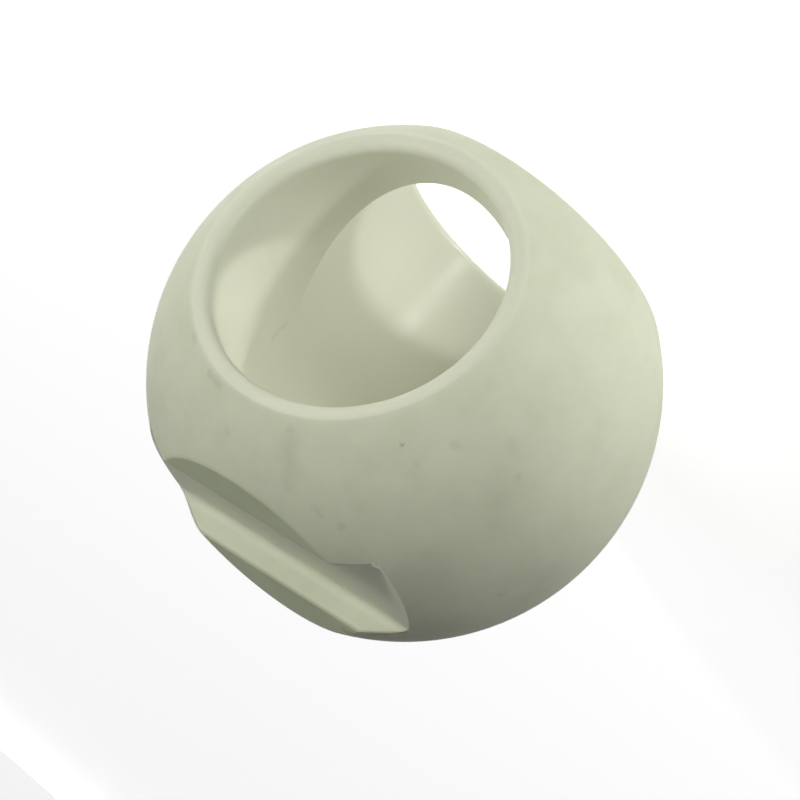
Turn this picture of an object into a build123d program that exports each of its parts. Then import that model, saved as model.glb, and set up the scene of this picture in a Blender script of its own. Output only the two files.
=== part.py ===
"""Ball of a three-way valve: one moulded piece with an L-shaped flow passage.

The origin is the centre of the ball. +Z runs up the stem axis to the slot that the stem turns,
+X runs out of the side port, and the bottom port opens at -Z. All lengths are in millimetres.
"""

import os
from math import sqrt

from build123d import *

# Flow passage, and the flat face left around each of its two mouths
bore_diameter = 49.0
port_land_width = 2.8
# Rounded edge between a bore and its port face, and between the face and the ball
mouth_edge_radius = 1.7
face_edge_radius = 1.0
# How far the ball stands out past the corner where the planes of the two port faces meet
seat_band_height = 3.9

# Stem end: a flat on top of the ball with an open slot across it
stem_flat_diameter = 41.8
slot_width = 21.4
slot_depth = 4.4
slot_corner_radius = 1.8
slot_rim_radius = 0.8

bore_radius = bore_diameter / 2
port_face_radius = bore_radius + port_land_width
ball_radius = port_face_radius * sqrt(2) + seat_band_height
# Distances from the centre of the ball
port_face_height = sqrt(ball_radius**2 - port_face_radius**2)
stem_flat_height = sqrt(ball_radius**2 - (stem_flat_diameter / 2) ** 2)
slot_floor_height = stem_flat_height - slot_depth

# The cutting plane of each flat, with its normal pointing out of the ball
side_port_face = Plane.YZ.offset(port_face_height)
bottom_port_face = Plane.XY.rotated((180, 0, 0)).offset(port_face_height)
stem_flat = Plane.XY.offset(stem_flat_height)
slot_floor = Plane.XY.offset(slot_floor_height)

# An edge lies on a plane if these places along it do, to within the tolerance
edge_places = (0, 0.3, 0.7)
tolerance = 0.001


def on_plane(edges, plane):
    """The edges of a list that lie on a plane."""

    def lies_on_it(edge):
        return all(abs(plane.to_local_coords(edge @ place).Z) < tolerance for place in edge_places)

    return edges.filter_by(lies_on_it)


def ring(edges, plane, radius):
    """The edges of a list that are arcs of that radius on a plane. A ring may be in two arcs."""
    arcs = on_plane(edges.filter_by(GeomType.CIRCLE), plane)
    return arcs.filter_by(lambda arc: abs(arc.radius - radius) < tolerance)


with BuildPart() as ball:
    Sphere(radius=ball_radius)

    # Three flats: the stem end and the face around each port
    for face_plane in (side_port_face, bottom_port_face, stem_flat):
        with BuildSketch(face_plane):
            Circle(ball_radius)
        extrude(amount=ball_radius, mode=Mode.SUBTRACT)

    # Both bores are cut from their faces to the centre and share a round elbow
    for face_plane in (side_port_face, bottom_port_face):
        with BuildSketch(face_plane):
            Circle(bore_radius)
        extrude(amount=-port_face_height, mode=Mode.SUBTRACT)
    Sphere(radius=bore_radius, mode=Mode.SUBTRACT)

    # Slot along Y, open at both ends
    with BuildSketch(slot_floor):
        Rectangle(slot_width, ball_radius * 2)
    extrude(amount=ball_radius, mode=Mode.SUBTRACT)
    slot_corners = on_plane(ball.edges().filter_by(Axis.Y), slot_floor)
    fillet(slot_corners, radius=slot_corner_radius)

    # Rounded edges of each port face: its mouth, then its outer ring
    for face_plane in (side_port_face, bottom_port_face):
        fillet(ring(ball.edges(), face_plane, bore_radius), radius=mouth_edge_radius)
        fillet(ring(ball.edges(), face_plane, port_face_radius), radius=face_edge_radius)

    # Broken edge all round the two halves of the stem flat
    fillet(on_plane(ball.edges(), stem_flat), radius=slot_rim_radius)

ball.part.label = "ball"
os.makedirs("parts", exist_ok=True)
export_step(ball.part, "parts/ball.step")
print("ball radius", round(ball_radius, 3), "port face", round(port_face_height, 3))
print("stem flat", round(stem_flat_height, 3), "volume", round(ball.part.volume), "mm3")
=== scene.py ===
# %% [markdown]
# # The ball of a three-way valve
#
# A moulded plastic ball turns in the valve's body and joins two of its three ports. The packed
# model gives its exact form. This lesson gives it the look of the real one: a waxy, greenish white
# plastic, matt outside from long use and smoother in the bores, lit as on a light table.

# %% Load the frame
from math import sqrt

import bpy
from mathutils import Matrix, Vector

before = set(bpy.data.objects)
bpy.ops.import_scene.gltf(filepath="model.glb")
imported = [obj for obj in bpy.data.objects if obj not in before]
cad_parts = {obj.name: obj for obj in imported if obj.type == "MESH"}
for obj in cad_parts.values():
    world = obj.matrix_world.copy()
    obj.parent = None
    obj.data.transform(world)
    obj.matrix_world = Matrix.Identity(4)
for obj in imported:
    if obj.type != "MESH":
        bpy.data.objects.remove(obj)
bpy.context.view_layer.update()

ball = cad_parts["ball"]

# %% [markdown]
# ## The ball's own sizes
#
# The finish depends on where a point lies: in a bore, on an edge or in the stem's slot. So the
# sizes of those places come first, in metres, with the centre of the ball as origin, +Z up the stem
# and +X out of the side port. The slot runs along Y.

# %% Sizes
MM = 0.001
BALL_RADIUS = 42.508 * MM
BORE_RADIUS = 24.5 * MM
MOUTH_ROUNDING = 1.7 * MM
# Distances from the centre
PORT_FACE = 32.583 * MM
STEM_FLAT = 37.015 * MM
SLOT_FLOOR = 32.615 * MM
SLOT_HALF_WIDTH = 10.7 * MM
SLOT_CORNER = 1.8 * MM
print("ball", round(BALL_RADIUS / MM, 1), "mm in radius")

# %% [markdown]
# ## Camera
#
# The ball is seen from in front of the side port, a little to one side, with the camera rolled so
# that the stem's slot is at the lower left. A short lens close by would make the outline an egg. A
# long lens at twenty ball radii keeps it a true circle. Three directions that are square to each
# other turn the camera, and the lens is worked out from the size of the outline in the picture.

# %% Camera
TO_CAMERA = Vector((0.8109, -0.5030, 0.2990))
IMAGE_RIGHT = Vector((-0.2284, -0.7425, -0.6297))
IMAGE_UP = Vector((0.5388, 0.4423, -0.7170))
CAMERA_DISTANCE = 0.85
NEAREST_SEEN = 10 * MM
# In pixels, from the top left corner of the picture
IMAGE_SIZE = 800
OUTLINE_RADIUS = 258.8
OUTLINE_CENTRE = (404.5, 383.3)


def place_camera():
    """A camera to which the ball's outline is a circle of OUTLINE_RADIUS at OUTLINE_CENTRE.

    Half the angle that a ball fills has the tangent radius / sqrt(distance^2 - radius^2).
    """
    camera = bpy.data.objects.new("camera", bpy.data.cameras.new("camera"))
    bpy.context.scene.collection.objects.link(camera)
    turn = Matrix((IMAGE_RIGHT, IMAGE_UP, TO_CAMERA)).transposed().to_4x4()
    camera.matrix_world = Matrix.Translation(TO_CAMERA * CAMERA_DISTANCE) @ turn
    focal_pixels = OUTLINE_RADIUS * sqrt(CAMERA_DISTANCE**2 - BALL_RADIUS**2) / BALL_RADIUS
    camera.data.lens = focal_pixels / IMAGE_SIZE * camera.data.sensor_width
    camera.data.shift_x = (IMAGE_SIZE / 2 - OUTLINE_CENTRE[0]) / IMAGE_SIZE
    camera.data.shift_y = (OUTLINE_CENTRE[1] - IMAGE_SIZE / 2) / IMAGE_SIZE
    camera.data.clip_start = NEAREST_SEEN
    return camera


bpy.context.scene.camera = place_camera()
bpy.context.scene.view_settings.view_transform = "Standard"
print("lens", round(bpy.context.scene.camera.data.lens, 1), "mm")

# %% [markdown]
# ## Light table
#
# The ball stands on its bottom port, and much of the light on it comes from below, through that
# port. So the floor works as a light table does: it is a plain pale sheet, lamps under it shine
# through, and it shows white to the camera. The ball keeps a faint shadow on it. Brighter lamps
# would make a white floor too, but they would bleach the ball.

# %% Node helpers


def connect(tree, value, target):
    """Links a socket to an input, or sets the input to a plain value."""
    if isinstance(value, bpy.types.NodeSocket):
        tree.links.new(value, target)
    else:
        target.default_value = value


def node(tree, kind, **values):
    """A new node. A lower case name is one of its settings, any other the input of that name."""
    made = tree.nodes.new(kind)
    for name, value in values.items():
        if name.islower():
            setattr(made, name, value)
        else:
            connect(tree, value, made.inputs[name.replace("_", " ")])
    return made


def math_node(tree, operation, *values):
    """The result of one Math node, from numbers or sockets."""
    made = node(tree, "ShaderNodeMath", operation=operation)
    for value, target in zip(values, made.inputs):
        connect(tree, value, target)
    return made.outputs[0]


def sees_white(tree):
    """1 for the rays that show a background: from the camera, off gloss and through glass."""
    rays = node(tree, "ShaderNodeLightPath").outputs
    seen = math_node(tree, "MAXIMUM", rays["Is Camera Ray"], rays["Is Glossy Ray"])
    return math_node(tree, "MAXIMUM", seen, rays["Is Transmission Ray"])


# %% Floor
WHITE = (1, 1, 1, 1)
FLOOR_SPAN = 30.0
SHEET_COLOUR = (0.80, 0.80, 0.80, 1)
SHEET_GLOW = 0.86


def light_sheet():
    """Two parts of one sheet: its own glow for the camera, and a diffuse part that takes shadows."""
    sheet = bpy.data.materials.new("light_sheet")
    sheet.use_nodes = True
    tree = sheet.node_tree
    tree.nodes.clear()
    strength = math_node(tree, "MULTIPLY", sees_white(tree), SHEET_GLOW)
    glow = node(tree, "ShaderNodeEmission", Color=WHITE, Strength=strength)
    pale = node(tree, "ShaderNodeBsdfDiffuse", Color=SHEET_COLOUR)
    both = node(tree, "ShaderNodeAddShader")
    tree.links.new(pale.outputs[0], both.inputs[0])
    tree.links.new(glow.outputs[0], both.inputs[1])
    node(tree, "ShaderNodeOutputMaterial", Surface=both.outputs[0])
    return sheet


def add_floor():
    """A square sheet under the bottom port. Lamps shine through it, and none of it lights the ball."""
    half = FLOOR_SPAN / 2
    square = [(-half, -half), (half, -half), (half, half), (-half, half)]
    mesh = bpy.data.meshes.new("floor")
    mesh.from_pydata([(x, y, -PORT_FACE) for x, y in square], [], [(0, 1, 2, 3)])
    mesh.materials.append(light_sheet())
    floor = bpy.data.objects.new("floor", mesh)
    bpy.context.scene.collection.objects.link(floor)
    floor.visible_shadow = False
    floor.visible_diffuse = False


add_floor()
print("floor at", round(-PORT_FACE / MM, 1), "mm")

# %% World


def add_world():
    """White to the camera and in gloss. All other light on the ball comes from the lamps."""
    world = bpy.data.worlds.new("studio")
    bpy.context.scene.world = world
    world.use_nodes = True
    background = world.node_tree.nodes["Background"]
    background.inputs["Color"].default_value = WHITE
    connect(world.node_tree, sees_white(world.node_tree), background.inputs["Strength"])
    return world


print("world:", len(add_world().node_tree.nodes), "nodes")

# %% [markdown]
# ## Lamps
#
# Round soft boxes stand round the ball, each given by its direction in the picture: to the right,
# up, and towards the camera. Three are small, so their light has an edge: `key` shines into the
# side port, `port` through the bottom port onto the far wall of the passage, and `spot` over the
# slot's near wall, whose shadow falls across the slot's end. The large ones shade the outside
# softly from upper right to lower left, and `back` is for whoever looks from behind.

# %% Lamps
LAMP_DISTANCE = 0.6
# name: (direction in the picture, width in metres, power in watts)
LAMPS = {
    "key": ((0.754, 0.150, 0.640), 0.05, 0.87),
    "port": ((0.895, 0.427, -0.127), 0.05, 1.42),
    "spot": ((-0.700, 0.385, 0.600), 0.05, 0.86),
    "right": ((1.00, 0.00, 0.10), 0.40, 0.48),
    "upper": ((0.50, 0.70, 0.50), 0.40, 0.28),
    "front": ((0.00, 0.10, 1.00), 0.40, 0.54),
    "under": ((0.10, -0.30, 0.95), 0.30, 0.43),
    "left": ((-0.87, 0.20, 0.36), 0.40, 0.66),
    "top": ((-0.60, 0.65, 0.30), 0.40, 0.50),
    "behind": ((-0.30, 0.80, -0.50), 0.40, 1.35),
    "back": ((-0.05, -0.05, -1.00), 0.25, 1.10),
}


def add_lamp(name, direction, width, power):
    """A disc lamp on a sphere round the ball, facing its centre."""
    light = bpy.data.lights.new(name, "AREA")
    light.shape = "DISK"
    light.size = width
    light.energy = power
    lamp = bpy.data.objects.new(name, light)
    bpy.context.scene.collection.objects.link(lamp)
    right, up, near = direction
    away = (IMAGE_RIGHT * right + IMAGE_UP * up + TO_CAMERA * near).normalized()
    lamp.location = away * LAMP_DISTANCE
    lamp.rotation_euler = away.to_track_quat("Z", "Y").to_euler()


for name, (direction, width, power) in LAMPS.items():
    add_lamp(name, direction, width, power)
    print("lamp", name, power, "W")

# %% [markdown]
# ## Places on the ball
#
# The real ball is one plastic, but its finish is not the same all over. The bores keep the gloss of
# the polished steel cores that formed them, the rims round the mouths are rubbed pale by the seats,
# the flats beside the slot carry a thin dull film, and the rest of the outside is matt. The slot's
# floor is painted paler than the body: painted light, standing in for the light that the slot's lit
# far wall throws onto it. Painted maps could say where each finish lies. Here the ball's own sizes
# say it instead: a node group measures how far a point is from the bores' axes and from the slot,
# so the edge of each finish falls exactly on the edge of the form, at any zoom.

# %% Group helpers


def vector_node(tree, operation, *values, output="Vector"):
    """The result of one Vector Math node, from triples or sockets."""
    made = node(tree, "ShaderNodeVectorMath", operation=operation)
    for value, target in zip(values, made.inputs):
        connect(tree, value, target)
    return made.outputs[output]


def ramp(tree, value, start, end, low=0.0, high=1.0):
    """A smooth step: low before start, high after end. Start may be the larger one."""
    made = node(
        tree, "ShaderNodeMapRange", interpolation_type="SMOOTHSTEP",
        Value=value, From_Min=start, From_Max=end, To_Min=low, To_Max=high,
    )
    return made.outputs["Result"]


def new_group(name, inputs, outputs):
    """An empty shader group: its tree, its inputs and its outputs.

    inputs is {name: "vector" or a default number}, outputs the names of the masks it gives.
    """
    tree = bpy.data.node_groups.new(name, "ShaderNodeTree")
    for title, default in inputs.items():
        kind = "NodeSocketVector" if default == "vector" else "NodeSocketFloat"
        socket = tree.interface.new_socket(title, in_out="INPUT", socket_type=kind)
        if kind == "NodeSocketFloat":
            socket.default_value = default
    for title in outputs:
        tree.interface.new_socket(title, in_out="OUTPUT", socket_type="NodeSocketFloat")
    return tree, tree.nodes.new("NodeGroupInput").outputs, tree.nodes.new("NodeGroupOutput").inputs


def use_group(tree, group, **values):
    """The outputs of a group placed in a tree, with its inputs set or linked by name."""
    return node(tree, "ShaderNodeGroup", node_tree=group, **values).outputs


# %% Group: places
# Further out than any point of the ball, so that a minimum or maximum with it changes nothing
BEYOND = 1.0
# A margin, so that a facet or an edge that lies a little off its true surface still counts
SKIN = 0.1 * MM
# The pale ring starts this far outside the bore, and fades out from the radius RIM_END
RIM_START = 0.2 * MM
RIM_END = 27.2 * MM
RIM_FADE = 1.2 * MM
EDGE_HALF_WIDTH = 0.45 * MM


def places_group():
    """Masks for the bores, the rims round their mouths, and the slot and flats at the stem end.

    The distance to a bore's axis, taken as a half line from the centre outwards, is
    |(min(x, 0), y, z)| for the side bore and |(x, y, max(z, 0))| for the bottom one. The smaller
    of the two is the bore radius all over the passage, and grows away from it.
    """
    masks = ("Bore", "Rim", "Slot Edge", "Slot Floor", "Flat")
    tree, inputs, outputs = new_group("places", {"Point": "vector"}, masks)
    point = inputs["Point"]
    before_side = vector_node(tree, "MINIMUM", point, (0, BEYOND, BEYOND))
    above_bottom = vector_node(tree, "MAXIMUM", point, (-BEYOND, -BEYOND, 0))
    from_side = vector_node(tree, "LENGTH", before_side, output="Value")
    from_bottom = vector_node(tree, "LENGTH", above_bottom, output="Value")
    reach = math_node(tree, "MINIMUM", from_side, from_bottom)
    connect(tree, ramp(tree, reach, BORE_RADIUS + MOUTH_ROUNDING, BORE_RADIUS + SKIN), outputs["Bore"])
    out_of_bore = ramp(tree, reach, BORE_RADIUS + RIM_START, BORE_RADIUS + MOUTH_ROUNDING)
    in_ring = ramp(tree, reach, RIM_END + RIM_FADE, RIM_END)
    connect(tree, math_node(tree, "MULTIPLY", out_of_bore, in_ring), outputs["Rim"])

    parts = node(tree, "ShaderNodeSeparateXYZ", Vector=point).outputs
    height = parts["Z"]
    off_middle = math_node(tree, "ABSOLUTE", parts["X"])
    off_wall = math_node(tree, "ABSOLUTE", math_node(tree, "SUBTRACT", off_middle, SLOT_HALF_WIDTH))
    near_wall = ramp(tree, off_wall, EDGE_HALF_WIDTH, 0.0)
    from_centre = vector_node(tree, "LENGTH", point, output="Value")
    on_ball = ramp(tree, from_centre, BALL_RADIUS - EDGE_HALF_WIDTH, BALL_RADIUS)
    on_flat = ramp(tree, height, STEM_FLAT - EDGE_HALF_WIDTH, STEM_FLAT)
    outside = math_node(tree, "MAXIMUM", on_ball, on_flat)
    above_floor = math_node(tree, "GREATER_THAN", height, SLOT_FLOOR)
    outer_edge = math_node(tree, "MULTIPLY", outside, above_floor)
    connect(tree, math_node(tree, "MULTIPLY", near_wall, outer_edge), outputs["Slot Edge"])
    connect(tree, on_flat, outputs["Flat"])

    in_slot = math_node(tree, "LESS_THAN", off_middle, SLOT_HALF_WIDTH)
    near_floor = ramp(tree, height, SLOT_FLOOR + SLOT_CORNER, SLOT_FLOOR)
    not_below = math_node(tree, "GREATER_THAN", height, SLOT_FLOOR - SKIN)
    floor_level = math_node(tree, "MULTIPLY", near_floor, not_below)
    connect(tree, math_node(tree, "MULTIPLY", in_slot, floor_level), outputs["Slot Floor"])
    return tree


places = places_group()
print("places:", len(places.nodes), "nodes")

# %% [markdown]
# ## Marks
#
# A used ball has a few grey specks and smudges, a rubbed streak and some brown stains. Each is a
# short stroke on the surface with a soft edge. A stroke's mask is the distance to the straight line
# between its two ends; a speck is a stroke whose ends are the same point. One group serves them
# all, and a little noise on the point keeps their outlines from being perfect.

# %% Group: stroke
# Put in place of a speck's squared length, which is zero and can't divide a number
SMALLEST_SQUARE = 1e-12


def stroke_group():
    """Mask of one stroke: Strength on the line from Start to End, 0 beyond Width, smooth between.

    The nearest place on the line is the share t = (p - start).(end - start) / |end - start|^2 of
    the way along, kept between 0 and 1. The distance is |p - start - t (end - start)|.
    """
    settings = {"Point": "vector", "Start": "vector", "End": "vector", "Width": MM, "Strength": 1.0}
    tree, inputs, outputs = new_group("stroke", settings, ("Mask",))
    along = vector_node(tree, "SUBTRACT", inputs["End"], inputs["Start"])
    from_start = vector_node(tree, "SUBTRACT", inputs["Point"], inputs["Start"])
    squared = vector_node(tree, "DOT_PRODUCT", along, along, output="Value")
    squared = math_node(tree, "MAXIMUM", squared, SMALLEST_SQUARE)
    projected = vector_node(tree, "DOT_PRODUCT", from_start, along, output="Value")
    share = node(tree, "ShaderNodeClamp", Value=math_node(tree, "DIVIDE", projected, squared))
    nearest = node(tree, "ShaderNodeVectorMath", operation="SCALE", Scale=share.outputs[0])
    tree.links.new(along, nearest.inputs[0])
    distance = vector_node(tree, "DISTANCE", from_start, nearest.outputs[0], output="Value")
    connect(tree, ramp(tree, distance, inputs["Width"], 0.0, 0.0, inputs["Strength"]), outputs["Mask"])
    return tree


stroke = stroke_group()
print("stroke:", len(stroke.nodes), "nodes")

# %% Marks on this ball


def speck(centre, width, strength):
    """A stroke without length."""
    return (centre, centre, width, strength)


# (start, end, half width, strength), in millimetres from the centre of the ball
MARKS = [
    speck((28.5, -24.7, 19.6), 0.6, 0.60),
    speck((21.5, -35.8, 7.8), 2.6, 0.12),
    speck((16.8, -37.8, 10.0), 1.3, 0.15),
    speck((25.9, -30.6, 14.1), 1.4, 0.13),
    speck((18.1, -19.9, 32.9), 1.3, 0.16),
    speck((-5.2, -36.7, 20.8), 1.4, 0.18),
    speck((11.2, -30.8, 27.1), 1.6, 0.08),
    speck((27.4, 2.0, 32.4), 1.1, 0.14),
    speck((30.8, -9.0, 27.8), 1.2, 0.18),
    ((20.6, -15.8, 33.6), (19.8, -17.0, 33.6), 1.2, 0.12),
    ((31.8, 16.0, 23.2), (31.6, 15.0, 24.0), 1.0, 0.14),
    ((31.5, 9.2, 27.0), (31.4, 6.2, 28.0), 1.2, 0.20),
    ((30.4, -9.2, 28.3), (23.5, -11.0, 33.7), 2.2, 0.10),
    ((27.0, -27.5, 16.5), (24.0, -27.0, 21.5), 1.6, 0.08),
]
# Brown ones: the seam inside the elbow, and a stain beside the slot on the flat and down its edge
STAINS = [
    ((1.2, 24.3, 2.4), (2.2, 23.6, 5.9), 1.1, 0.14),
    ((-14.6, -14.0, 37.0), (-13.6, -16.4, 37.0), 1.8, 0.45),
    ((-13.2, -17.6, 36.8), (-11.5, -22.0, 34.8), 1.2, 0.30),
]
# A small pale fleck where the slot's near wall ends on the ball
CORNER_FLECK = [((10.9, -24.5, 32.9), (10.1, -24.9, 32.8), 0.55, 0.9)]
print("marks:", len(MARKS) + len(STAINS) + len(CORNER_FLECK))

# %% [markdown]
# ## Plastic
#
# The plastic is a natural, unpigmented one: greenish white, waxy, and a little see-through, so
# light spreads a few millimetres inside it and softens every shadow edge. A plain diffuse colour
# would look like chalk. So the Principled shader's subsurface part carries the body colour, a faint
# cloudiness and the marks change it from place to place, and roughness and a fine bump give the
# matt outside and the smoother bores.

# %% Colours
BODY = (0.71, 0.735, 0.56, 1)
CLOUDY = (0.66, 0.69, 0.515, 1)
CLEAN_BORE = (0.74, 0.75, 0.615, 1)
RUBBED = (0.74, 0.755, 0.605, 1)
# Painted light: the slot's floor made paler than the body, for the light its lit far wall throws on it
PAINTED_FLOOR_LIGHT = (0.82, 0.845, 0.655, 1)
FILM = (0.41, 0.56, 0.21, 1)
SOIL = (0.27, 0.29, 0.19, 1)
STAINED = (0.34, 0.27, 0.15, 1)
PALE_FLECK = (0.92, 0.93, 0.80, 1)
# How much of its own colour each place takes
RUBBED_SHARE = 0.8
FILM_SHARE = 0.28
EDGE_STAIN_SHARE = 0.6


def mix(tree, share, a, b):
    """Colour a where share is 0, colour b where it is 1."""
    made = node(tree, "ShaderNodeMix", data_type="RGBA", Factor=share)
    colour_inputs = [socket for socket in made.inputs if socket.type == "RGBA"]
    for colour, target in zip((a, b), colour_inputs):
        connect(tree, colour, target)
    return next(socket for socket in made.outputs if socket.type == "RGBA")


def noise(tree, point, scale, detail, roughness=0.5, output="Fac"):
    """Soft noise from 0 to 1, with scale in waves per metre."""
    made = node(
        tree, "ShaderNodeTexNoise", Vector=point, Scale=scale, Detail=detail, Roughness=roughness
    )
    return made.outputs[output]


def all_strokes(tree, point, strokes):
    """The strongest mask of a list of strokes."""
    strongest = 0.0
    for start, end, width, strength in strokes:
        ends = {"Start": [v * MM for v in start], "End": [v * MM for v in end]}
        masks = use_group(tree, stroke, Point=point, Width=width * MM, Strength=strength, **ends)
        strongest = math_node(tree, "MAXIMUM", strongest, masks["Mask"])
    return strongest


# %% Colour of the surface
CLOUD_SCALE = 110
CLOUD_DETAIL = 4
CLOUD_FINENESS = 0.6
CLOUD_RANGE = (0.35, 0.75)
# Noise that moves the edge of a mark, by half of SHAKE at most
SHAKE = 1.2 * MM
SHAKE_SCALE = 900
SHAKE_DETAIL = 1


def surface_colour(tree, point, place, cloud):
    """Cloudy body colour, then bores, rubbed rims, film, painted light on the slot floor, marks,
    stains.
    """
    colour = mix(tree, cloud, BODY, CLOUDY)
    colour = mix(tree, place["Bore"], colour, CLEAN_BORE)
    colour = mix(tree, math_node(tree, "MULTIPLY", place["Rim"], RUBBED_SHARE), colour, RUBBED)
    colour = mix(tree, math_node(tree, "MULTIPLY", place["Flat"], FILM_SHARE), colour, FILM)
    # The slot's floor: paler, painted light standing in for what its lit far wall throws onto it
    colour = mix(tree, place["Slot Floor"], colour, PAINTED_FLOOR_LIGHT)

    ragged = noise(tree, point, SHAKE_SCALE, SHAKE_DETAIL, output="Color")
    centred = vector_node(tree, "SUBTRACT", point, [SHAKE / 2] * 3)
    shaken = vector_node(tree, "MULTIPLY_ADD", ragged, [SHAKE] * 3, centred)
    edge_stain = math_node(tree, "MULTIPLY", place["Slot Edge"], EDGE_STAIN_SHARE)
    stain = math_node(tree, "MAXIMUM", edge_stain, all_strokes(tree, shaken, STAINS))
    colour = mix(tree, all_strokes(tree, shaken, MARKS), colour, SOIL)
    colour = mix(tree, stain, colour, STAINED)
    # A small pale fleck at the end of the slot's near wall
    return mix(tree, all_strokes(tree, point, CORNER_FLECK), colour, PALE_FLECK)


# %% Gloss and skin
OUTSIDE_ROUGHNESS = 0.60
BORE_ROUGHNESS = 0.29
RIM_ROUGHNESS_CHANGE = -0.10
CLOUD_ROUGHNESS_CHANGE = 0.05
# Slow waves of the moulded skin, and a fine matt grain that is weaker in the bores
WAVE_SCALE = 90
WAVE_DETAIL = 2
WAVE_HEIGHT = 0.9
GRAIN_SCALE = 2600
GRAIN_DETAIL = 3
GRAIN_FINENESS = 0.65
OUTSIDE_GRAIN = 0.12
BORE_GRAIN = 0.03
BUMP_STRENGTH = 0.35
BUMP_DEPTH = 0.2 * MM


def surface_roughness(tree, place, cloud):
    """Matt outside, rubbed rims, smoother bores."""
    rough = ramp(tree, place["Bore"], 0.0, 1.0, OUTSIDE_ROUGHNESS, BORE_ROUGHNESS)
    rough = math_node(tree, "MULTIPLY_ADD", place["Rim"], RIM_ROUGHNESS_CHANGE, rough)
    return math_node(tree, "MULTIPLY_ADD", cloud, CLOUD_ROUGHNESS_CHANGE, rough)


def surface_normal(tree, point, place):
    """The bump of the waves and the grain added together."""
    waves = noise(tree, point, WAVE_SCALE, WAVE_DETAIL)
    grain = noise(tree, point, GRAIN_SCALE, GRAIN_DETAIL, GRAIN_FINENESS)
    grain_share = ramp(tree, place["Bore"], 0.0, 1.0, OUTSIDE_GRAIN, BORE_GRAIN)
    grain_height = math_node(tree, "MULTIPLY", grain, grain_share)
    height = math_node(tree, "MULTIPLY_ADD", waves, WAVE_HEIGHT, grain_height)
    bump = node(tree, "ShaderNodeBump", Strength=BUMP_STRENGTH, Distance=BUMP_DEPTH, Height=height)
    return bump.outputs[0]


# %% Plastic
SPECULAR_LEVEL = 0.21
SUBSURFACE_SHARE = 0.3
# Red, green and blue light spread this far, in parts of SPREAD
SUBSURFACE_RADIUS = (0.8, 1.0, 0.55)
SPREAD = 4 * MM


def ball_plastic():
    """The one plastic of the whole ball, with a finish that follows the places on it."""
    material = bpy.data.materials.new("ball_plastic")
    material.use_nodes = True
    tree = material.node_tree
    surface = tree.nodes["Principled BSDF"]
    point = node(tree, "ShaderNodeTexCoord").outputs["Object"]
    place = use_group(tree, places, Point=point)
    cloud = ramp(tree, noise(tree, point, CLOUD_SCALE, CLOUD_DETAIL, CLOUD_FINENESS), *CLOUD_RANGE)
    connect(tree, surface_colour(tree, point, place, cloud), surface.inputs["Base Color"])
    connect(tree, surface_roughness(tree, place, cloud), surface.inputs["Roughness"])
    connect(tree, surface_normal(tree, point, place), surface.inputs["Normal"])
    surface.inputs["Specular IOR Level"].default_value = SPECULAR_LEVEL
    surface.inputs["Subsurface Weight"].default_value = SUBSURFACE_SHARE
    surface.inputs["Subsurface Radius"].default_value = SUBSURFACE_RADIUS
    surface.inputs["Subsurface Scale"].default_value = SPREAD
    print("ball_plastic:", len(tree.nodes), "nodes")
    return material


plastic = ball_plastic()
for index in range(len(ball.data.materials)):
    ball.data.materials[index] = plastic
print("finish on", len(ball.data.materials), "slot")
